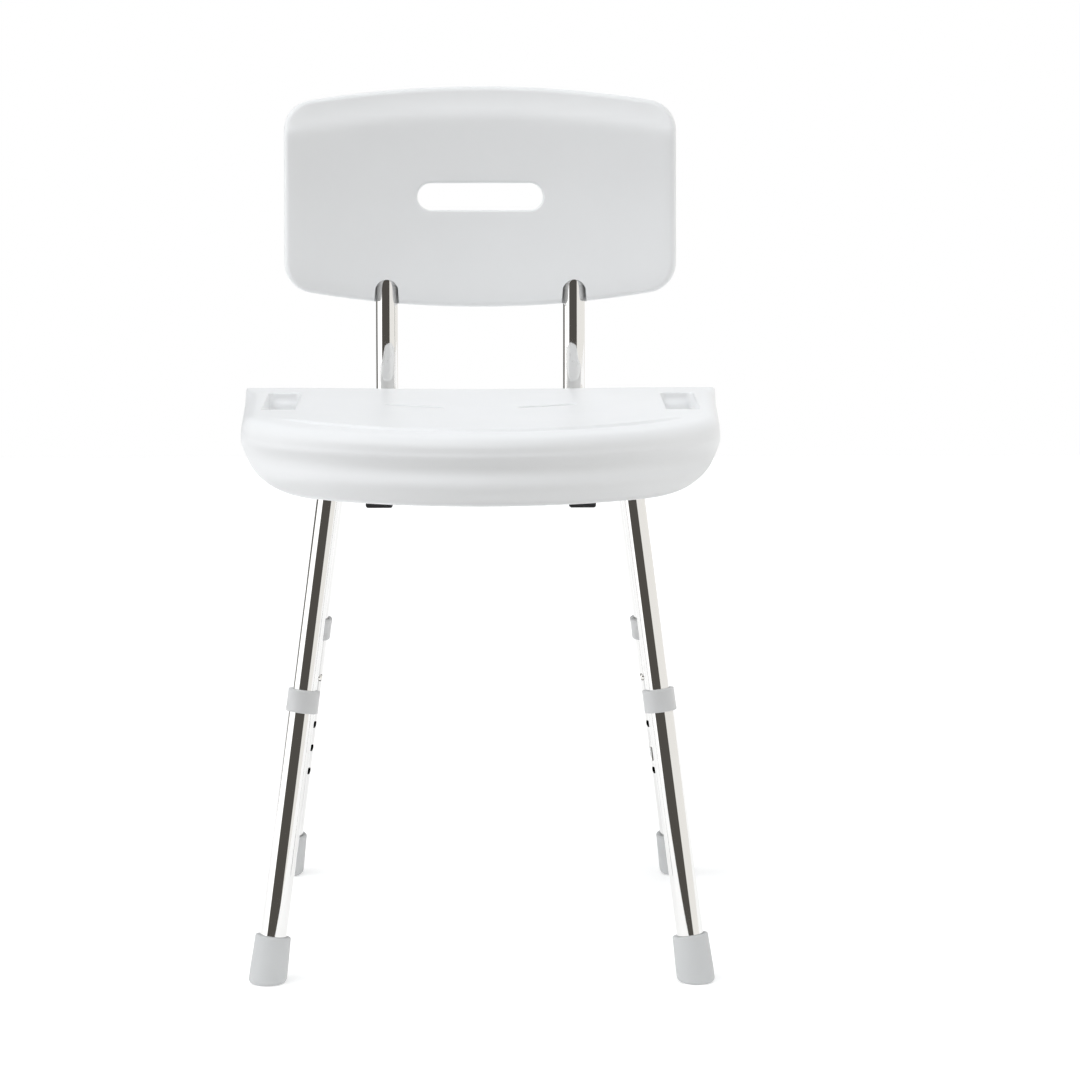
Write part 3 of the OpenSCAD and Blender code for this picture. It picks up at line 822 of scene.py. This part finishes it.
def build_lower_leg(leg):
    """A lower leg's tube with its row of height holes."""
    node = "lower_leg_" + leg
    start, end = along_leg(node, leg, LOWER_R)
    m = leg_matrix(leg)
    up = m.col[2].to_3d()
    line = [m.translation + up * (start + (end - start) * i / 12) for i in range(13)]
    top = button_matrix(leg)
    holes = [top @ Matrix.Translation((0, 0, -i * HOLE_PITCH)) for i in range(HOLE_COUNT)]
    build_tube(node, "leg_" + leg, line, LOWER_RADII, m.col[0].to_3d(), holes)


def build_collar(leg):
    """The plastic collar at the top of a lower leg, with a rolled upper lip."""
    node = "collar_" + leg
    r = 15.2 * MM
    start, end = along_leg(node, leg, r)
    edge, lip = 0.9 * MM, 0.4 * MM
    bore = LOWER_R + 0.02 * MM
    profile = [(bore, start + lip), (bore + lip, start)]
    profile += arc(r - edge, start + edge, edge, -90, 0, 5)
    waist, band = r - 0.15 * MM, 4 * MM
    profile += [(r, start + band), (waist, start + band + lip), (waist, end - band - lip), (r, end - band)]
    profile += arc(r - edge, end - edge, edge, 0, 90, 5)
    profile += [(LOWER_BORE_R + lip, end), (LOWER_BORE_R, end - lip)]
    profile += [(LOWER_BORE_R, end - 2 * MM), (bore, end - 2.1 * MM)]
    vertices, faces = lathe(profile)
    piece = new_piece(node + "_ring", vertices, faces, COLLAR, 50)
    piece.data.transform(leg_matrix(leg))
    stand_for(piece, node, "leg_" + leg)


def build_foot(leg):
    """A rubber foot: a rounded rim, a tapered cup and a sole that lies flat on the floor."""
    node = "foot_" + leg
    top = along_leg(node, leg, 17.6 * MM)[1]
    m = leg_matrix(leg)
    up = m.col[2].to_3d()
    body_r, foot_r = 16.9 * MM, 17.9 * MM
    bore = LOWER_R + 0.05 * MM
    edge = 1.2 * MM
    outer = [(bore + 0.6 * MM, top), *arc(body_r - edge, top - edge, edge, 90, 0, 5)]
    outer += [(body_r + 0.15 * MM, top - 2.2 * MM), (body_r, top - 3.2 * MM)]
    for i in range(1, 9):
        outer.append((body_r + (foot_r - body_r) * i / 8, top - 3.2 * MM - (top - 16.2 * MM) * i / 8))
    inner = [(bore, top - 0.6 * MM), (bore, 8.6 * MM)]
    vertices, faces, rings = [], [], []

    def ring_at(r, t=None, z=None):
        """A ring square to the leg at height t along it, or one parallel to the floor at height z."""
        ring = []
        for x, y in circle(r):
            p = m @ Vector((x, y, t or 0))
            if z is not None:
                p += up * ((z - p.z) / up.z)
            ring.append(len(vertices))
            vertices.append(p)
        rings.append(ring)

    for r, t in inner[::-1] + outer:
        ring_at(r, t=t)
    sole_edge = 4.2 * MM
    for x, y in arc(foot_r - sole_edge, sole_edge, sole_edge, 0, -90, 8):
        ring_at(x, z=y)
    for r, z in ((12.6, 0), (12.2, 0.9), (10.4, 0.9), (10.0, 0), (7.2, 0), (6.8, 0.9), (5.0, 0.9), (4.6, 0)):
        ring_at(r * MM, z=z * MM)
    for a, b in zip(rings, rings[1:], strict=False):
        bridge(faces, a, b)
    faces += [tuple(rings[0]), tuple(rings[-1][::-1])]
    piece = new_piece(node + "_rubber", vertices, faces, RUBBER, 50)
    stand_for(piece, node, "leg_" + leg)


def build_button(node, matrix, body):
    """A snap button: a domed pin with a flat base, drawn along +X."""
    low, high = 7.6 * MM, 14.2 * MM
    r = 3.4 * MM
    profile = [(0, low), (4.2 * MM, low), (4.2 * MM, low + 0.9 * MM), (r, low + 1.0 * MM)]
    profile += arc(0, high - r, r, 0, 90, 12)[:-1] + [(0, high)]
    vertices, faces = spun(profile, 40)
    turn = Matrix.Rotation(math.pi / 2, 4, "Y")
    piece = new_piece(node + "_dome", [matrix @ (turn @ v) for v in vertices], faces, NICKEL, 40)
    stand_for(piece, node, body)


# ---- receivers ----


def receiver_matrix(side):
    """A receiver's own frame, at the snap button below it: +X points down and +Z to the rear."""
    button = middle("back_button_" + side)
    at = middle("receiver_" + side)
    origin = Vector((at.x, button.y, at.z))
    return axes_matrix(Vector((0, 0, -1)), Vector((1, 0, 0)), Vector((0, 1, 0)), origin)


def build_receiver(side):
    """A receiver's tube with its snap button's hole."""
    node = "receiver_" + side
    low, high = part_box(node)
    at = middle(node)
    line = [Vector((at.x, low.y + (high.y - low.y) * i / 12, at.z)) for i in range(13)]
    build_tube(node, "frame", line, LOWER_RADII, Vector((1, 0, 0)), [receiver_matrix(side)])


def rounded_block(vertices, faces, low, high, r):
    """A box with rounded edges along Y and softened ends."""
    near, far = low + Vector((r, 0, r)), high - Vector((r, 0, r))
    corners = ((far.x, far.z, 0), (near.x, far.z, 90), (near.x, near.z, 180), (far.x, near.z, 270))
    edge = 0.6 * MM
    rings = []
    for y, inset in ((low.y, edge), (low.y + edge, 0), (high.y - edge, 0), (high.y, edge)):
        ring = []
        for cx, cz, a in corners:
            ring += arc(cx, cz, r - inset, a, a + 90, 6)
        rings.append([len(vertices) + i for i in range(len(ring))])
        vertices += [Vector((x, y, z)) for x, z in ring]
    for a, b in zip(rings, rings[1:], strict=False):
        bridge(faces, a, b)
    faces += [tuple(rings[0][::-1]), tuple(rings[-1])]


def build_end_caps():
    """Square dark plugs that close the receivers' front ends."""
    low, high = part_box("receiver_end_caps")
    vertices, faces = [], []
    for side in SIDES:
        at = middle("receiver_" + side)
        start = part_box("receiver_" + side)[0].y
        near, far = Vector((at.x - LOWER_R, low.y, low.z)), Vector((at.x + LOWER_R, start, high.z))
        rounded_block(vertices, faces, near, far, 2.5 * MM)
        plug_r, length = LOWER_BORE_R - 0.1 * MM, 12 * MM
        plug, plug_faces = spun([(0, 0), (plug_r, 0), (plug_r - 0.3 * MM, length), (0, length)], 48)
        turn = Matrix.Translation((at.x, start - 0.2 * MM, at.z)) @ Matrix.Rotation(-math.pi / 2, 4, "X")
        first = len(vertices)
        vertices += [turn @ v for v in plug]
        faces += [tuple(first + i for i in f) for f in plug_faces]
    piece = new_piece("receiver_caps", vertices, faces, DARK_PLASTIC, 40)
    stand_for(piece, "receiver_end_caps", "frame")


# ---- backrest ----

BACK_LEAN = math.radians(7)
BACK_CORNER_R = 40 * MM
BACK_BEND_R = 300 * MM
BACK_BEND_EASE = 14.7 * MM
SOCKET = 146 * MM
PANEL_HALF = 198.5 * MM
PANEL_T = 28 * MM
PANEL_R = 900 * MM
PANEL_LOW, PANEL_HIGH = 23.5 * MM, 247.5 * MM
PANEL_ARC_R = 1040 * MM
PANEL_CORNER_R = 31 * MM
PANEL_EDGE_R = 6 * MM
FOLD, FOLD_SLOPE, FOLD_LIP = 30 * MM, 0.25, 0.22
SLOT_HALF, SLOT_R, SLOT_Z = 64 * MM, 13.8 * MM, 135.5 * MM
SLOT_EDGE_R = 2.5 * MM
MOUTH_R, MOUTH_HALF, MOUTH_HIGH = 11.7 * MM, 12.8 * MM, 51 * MM
BACK_X = abs(middle("back_tube_left").x)


def back_top():
    """The upper end of the backrest tubes' line, and the point where they have bent back."""
    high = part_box("back_tube_left")[1]
    top = Vector((0, high.y - UPPER_R * math.cos(BACK_LEAN), high.z - UPPER_R * math.sin(BACK_LEAN)))
    up = Vector((0, math.sin(BACK_LEAN), math.cos(BACK_LEAN)))
    return top, top - up * SOCKET


def panel_matrix():
    """The backrest's leaning frame: +Z up along the tubes, from where they have bent back."""
    return Matrix.Translation(back_top()[1]) @ Matrix.Rotation(-BACK_LEAN, 4, "X")


def back_tube_line(side):
    """Along the receiver, up behind the seat, and leaning back into the panel."""
    x = SIDES[side] * BACK_X
    top, bent = back_top()
    bent += (top - bent).normalized() * BACK_BEND_EASE
    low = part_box("back_tube_" + side)[0]
    front_y, z = low.y, low.z + UPPER_R
    rise_y = bent.y - BACK_BEND_R * (1 - math.cos(BACK_LEAN))
    rise_z = bent.z - BACK_BEND_R * math.sin(BACK_LEAN)
    points = [(front_y + (rise_y - BACK_CORNER_R - front_y) * i / 10, z) for i in range(10)]
    for i in range(25):
        a = math.pi / 2 * i / 24
        points.append((rise_y - BACK_CORNER_R * (1 - math.sin(a)), z + BACK_CORNER_R * (1 - math.cos(a))))
    points += [(rise_y, z + BACK_CORNER_R + (rise_z - z - BACK_CORNER_R) * i / 4) for i in range(1, 4)]
    for i in range(9):
        a = BACK_LEAN * i / 8
        points.append((rise_y + BACK_BEND_R * (1 - math.cos(a)), rise_z + BACK_BEND_R * math.sin(a)))
    points += [(bent.y + (top.y - bent.y) * i / 6, bent.z + (top.z - bent.z) * i / 6) for i in range(1, 7)]
    return [Vector((x, y, z)) for y, z in points]


def build_back_tube(side):
    """A backrest tube with its snap button's hole."""
    line = back_tube_line(side)
    build_tube("back_tube_" + side, "backrest", line, UPPER_RADII, Vector((1, 0, 0)), [receiver_matrix(side)])


def panel_outline(inset):
    """The panel's outline in its own X and Z: long arcs above and below, straight sides."""
    r, half = PANEL_CORNER_R - inset, PANEL_HALF - inset
    cx = PANEL_HALF - PANEL_CORNER_R
    reach = math.sqrt((PANEL_ARC_R - PANEL_CORNER_R) ** 2 - cx**2)
    low_centre, high_centre = PANEL_LOW + PANEL_ARC_R, PANEL_HIGH - PANEL_ARC_R
    low_cz, high_cz = low_centre - reach, high_centre + reach
    turn = math.degrees(math.atan2(reach, cx))
    right = arc(0, low_centre, PANEL_ARC_R - inset, -90, -turn, 26)[1:]
    right += arc(cx, low_cz, r, -turn, 0, 12)[1:]
    right += [(half, low_cz + (high_cz - low_cz) * i / 18) for i in range(1, 18)]
    right += arc(cx, high_cz, r, 0, turn, 12)
    right += arc(0, high_centre, PANEL_ARC_R - inset, turn, 90, 26)[1:-1]
    left = [(-x, z) for x, z in reversed(right)]
    loop = [(0, PANEL_LOW + inset), *right, (0, PANEL_HIGH - inset), *left]
    return [Vector(p) for p in loop]


def slot_loop(grow):
    """The hand slot's outline in the panel, grown by that much."""
    return [Vector((x, SLOT_Z + z)) for x, z in slot_outline(SLOT_HALF - SLOT_R, SLOT_R + grow, 16, 8)]


def panel_middle(x):
    """The depth of the panel's curved middle surface."""
    return math.sqrt(PANEL_R**2 - x**2) - math.sqrt(PANEL_R**2 - BACK_X**2)


def soft_ramp(t, width):
    """A ramp that is 0 well below 0 and t well above it, rounded off over width."""
    return 0.5 * (t + math.sqrt(t * t + width * width))


def panel_front(x, z):
    """The depth of the panel's front face, whose top folds back and whose foot is rolled."""
    top_edge = PANEL_HIGH - PANEL_ARC_R + math.sqrt(PANEL_ARC_R**2 - x**2)
    low_edge = PANEL_LOW + PANEL_ARC_R - math.sqrt(PANEL_ARC_R**2 - x**2)
    above = z - (top_edge - FOLD)
    lip = soft_ramp(above, 1.5 * MM) - soft_ramp(above - 7 * MM, 1.5 * MM)
    fold = FOLD_SLOPE * soft_ramp(above, 1.5 * MM) + FOLD_LIP * lip
    foot = max(0.0, 15 * MM - (z - low_edge)) / (15 * MM)
    roll = 5 * MM * (1 - math.sqrt(max(0.0, 1 - (foot * 0.95) ** 2)))
    belly = 2.2 * MM * math.sin(math.pi * clamp((z - low_edge) / (top_edge - low_edge))) ** 2
    return panel_middle(x) - PANEL_T / 2 + fold + roll + belly


def panel_back(x):
    """The depth of the panel's back face."""
    return panel_middle(x) + PANEL_T / 2


def build_panel():
    """The moulded backrest panel with its hand slot and the two mouths for the tubes."""
    shell = Shell()
    m = panel_matrix()

    def at(x, y, z):
        return m @ Vector((x, y, z))

    rim, slot = panel_outline(PANEL_EDGE_R), slot_loop(SLOT_EDGE_R)
    front = shell.add_plate(rim, [slot], 7 * MM, lambda x, z: at(x, panel_front(x, z), z))
    back = shell.add_plate(rim, [slot], 9 * MM, lambda x, z: at(x, panel_back(x), z))

    def edge_rings(loops, starts, r):
        """Round the front edge, across the wall and round the back edge."""
        rings = []
        for sine, cosine in quarter(7):
            pairs = zip(loops(1 - sine), starts, strict=True)
            rings.append([at(p.x, panel_front(q.x, q.y) + r * (1 - cosine), p.y) for p, q in pairs])
        for sine, cosine in reversed(quarter(7)):
            pairs = zip(loops(1 - sine), starts, strict=True)
            rings.append([at(p.x, panel_back(q.x) - r * (1 - cosine), p.y) for p, q in pairs])
        return rings

    shell.chain(front[0], edge_rings(lambda t: panel_outline(PANEL_EDGE_R * t), rim, PANEL_EDGE_R), back[0])
    shell.chain(front[1], edge_rings(lambda t: slot_loop(SLOT_EDGE_R * t), slot, SLOT_EDGE_R), back[1])
    piece = new_piece("backrest_shell", shell.vertices, shell.faces, WHITE, 50)

    cutters = []
    for x in (-BACK_X, BACK_X):
        vertices, faces = [], []
        profile = [(-MOUTH_HALF, -10 * MM), (MOUTH_HALF, -10 * MM), (MOUTH_HALF, PANEL_LOW + 4 * MM)]
        profile += arc(0, MOUTH_HIGH - MOUTH_R, MOUTH_R, 0, 180, 24)
        profile += [(-MOUTH_HALF, PANEL_LOW + 4 * MM)]
        add_prism(vertices, faces, profile, lambda u, v, end, x=x: at(x + u, -30 * MM * (1 - end), v))
        cutters.append(closed_mesh("cutter", vertices, faces))
        socket_r = UPPER_R + 0.15 * MM
        vertices, faces = spun([(0, -10 * MM), (socket_r, -10 * MM), (socket_r, SOCKET), (0, SOCKET)], 64)
        cutters.append(closed_mesh("cutter", [m @ (v + Vector((x, 0, 0))) for v in vertices], faces))
    cut(piece, cutters)
    resharpen(piece, 40)
    stand_for(piece, "backrest_panel", "backrest")


# ---- what stays as the CAD made it ----


def finish_cad_nodes():
    """Gives each CAD node that still shows its own finish."""
    finishes = {
        "seat_clamps": CLAMP_PLASTIC,
        "seat_screws": ZINC,
        "frame_saddles": ZINC,
        "back_tube_plugs": DARK_PLASTIC,
        "backrest_screws": ZINC,
    }
    for leg in LEGS:
        finishes["foot_washer_" + leg] = ZINC
        finishes["leg_clip_" + leg] = SPRING
    for side in SIDES:
        finishes["back_clip_" + side] = SPRING
    for node, finish in finishes.items():
        mesh = frame["nodes"][node].data
        mesh.materials.clear()
        mesh.materials.append(finish)


# ---- stage ----


def studio_world():
    """A white studio with a soft box up in front and a dim room behind the camera, for the chrome."""
    world = bpy.data.worlds.new("studio")
    bpy.context.scene.world = world
    world.use_nodes = True
    nodes, links = world.node_tree.nodes, world.node_tree.links
    background = nodes["Background"]
    place = nodes.new("ShaderNodeTexCoord")
    split = nodes.new("ShaderNodeSeparateXYZ")
    links.new(place.outputs["Generated"], split.inputs[0])

    def math_node(kind, *values):
        """The result of a sum on numbers or sockets."""
        node = nodes.new("ShaderNodeMath")
        node.operation = kind
        for i, v in enumerate(values):
            if isinstance(v, (int, float)):
                node.inputs[i].default_value = v
            else:
                links.new(v, node.inputs[i])
        return node.outputs[0]

    def step(value, low, high):
        """0 below low, 1 above high, smooth in between."""
        node = nodes.new("ShaderNodeMapRange")
        node.interpolation_type = "SMOOTHSTEP"
        node.inputs["From Min"].default_value = low
        node.inputs["From Max"].default_value = high
        links.new(value, node.inputs["Value"])
        return node.outputs["Result"]

    x, y, z = split.outputs
    azimuth = math_node("ARCTAN2", x, math_node("MULTIPLY", y, -1.0))

    def sector(start, end, low, high, soft=3):
        """1 between two azimuths, counted to the right from the camera, and between two elevations."""
        across = math_node(
            "MULTIPLY",
            step(azimuth, math.radians(start - soft), math.radians(start + soft)),
            step(azimuth, math.radians(end + soft), math.radians(end - soft)),
        )
        sine = [math.sin(math.radians(a)) for a in (low - 1, low + 1, high + 8, high - 8)]
        upright = math_node("MULTIPLY", step(z, sine[0], sine[1]), step(z, sine[2], sine[3]))
        return math_node("MULTIPLY", across, upright)

    def mix(fac, a, b):
        """Colour a where fac is 0, and b where it is 1."""
        node = nodes.new("ShaderNodeMix")
        node.data_type = "RGBA"
        links.new(fac, node.inputs["Factor"])
        for socket, v in ((node.inputs[6], a), (node.inputs[7], b)):
            if isinstance(v, tuple):
                socket.default_value = (*v, 1)
            else:
                links.new(v, socket)
        return node.outputs[2]

    colour = mix(step(z, 0.3, 0.95), (0.9, 0.9, 0.9), (0.74, 0.755, 0.77))
    # the soft box, the lit left wall, the warm right wall, the dim door behind it and the dim room
    colour = mix(sector(-95, 15, 36, 66, 8), colour, (2.8, 2.83, 2.86))
    colour = mix(sector(-120, -50, -20, 30, 5), colour, (1.6, 1.6, 1.6))
    colour = mix(sector(24, 165, -60, 30, 5), colour, (1.0, 0.985, 0.95))
    colour = mix(sector(-176, -116, -12, 30, 2), colour, (0.16, 0.155, 0.145))
    colour = mix(sector(-54, 29, -60, 34, 1.2), colour, (0.095, 0.089, 0.08))
    rays = nodes.new("ShaderNodeLightPath")
    colour = mix(rays.outputs["Is Camera Ray"], colour, (1.0, 1.0, 1.0))
    links.new(colour, background.inputs["Color"])
    background.inputs["Strength"].default_value = 1.0


def build_floor():
    """A plain white floor that ends before the camera's view does."""
    mesh = bpy.data.meshes.new("floor")
    left, right, front, back = -2.4, 4.0, -0.8, 3.0
    corners = [(left, front, 0), (right, front, 0), (right, back, 0), (left, back, 0)]
    mesh.from_pydata(corners, [], [(0, 1, 2, 3)])
    floor = add_object("floor", mesh)
    m = bpy.data.materials.new("floor_white")
    m.use_nodes = True
    shader = m.node_tree.nodes["Principled BSDF"]
    shader.inputs["Base Color"].default_value = (0.86, 0.86, 0.86, 1)
    shader.inputs["Roughness"].default_value = 0.7
    shader.inputs["Emission Color"].default_value = (1, 1, 1, 1)
    shader.inputs["Emission Strength"].default_value = 0.28
    mesh.materials.append(m)


def build_top_light():
    """A broad weak light over the seat."""
    data = bpy.data.lights.new("top", "AREA")
    data.shape = "RECTANGLE"
    data.size, data.size_y = 2.0, 1.6
    data.energy = 3
    light = add_object("top", data)
    light.location = (-0.5, 0.1, 2.7)
    light.rotation_mode = "QUATERNION"
    light.rotation_quaternion = (Vector((0, 0, 0.5)) - light.location).to_track_quat("-Z", "Y")


def build_camera():
    """The photograph's view: a long lens a little above the seat's height, in front."""
    data = bpy.data.cameras.new("camera")
    data.sensor_width = 36
    data.lens = 156.7
    data.clip_end = 60
    camera = add_object("camera", data)
    down, right = math.radians(9.86), math.radians(0.73)
    camera.location = (0, STANCE_Y - 4.539, 1.177)
    camera.rotation_mode = "XYZ"
    camera.rotation_euler = (math.pi / 2 - down, 0, -right)
    bpy.context.scene.camera = camera


def build_stage():
    """The camera, the surroundings and how tones are shown."""
    build_camera()
    studio_world()
    build_floor()
    build_top_light()
    scene = bpy.context.scene
    scene.view_settings.view_transform = "Standard"
    scene.view_settings.look = "None"


build_stage()
build_seat()
build_seat_underside()
for frame_name in ("front_leg_frame", "rear_leg_frame"):
    build_leg_frame(frame_name)
for leg_name in LEGS:
    build_lower_leg(leg_name)
    build_collar(leg_name)
    build_foot(leg_name)
    build_button("leg_button_" + leg_name, button_matrix(leg_name), "snap_button_" + leg_name)
for side_name in SIDES:
    build_receiver(side_name)
    build_back_tube(side_name)
    build_button("back_button_" + side_name, receiver_matrix(side_name), "snap_button_back_" + side_name)
build_end_caps()
build_panel()
finish_cad_nodes()
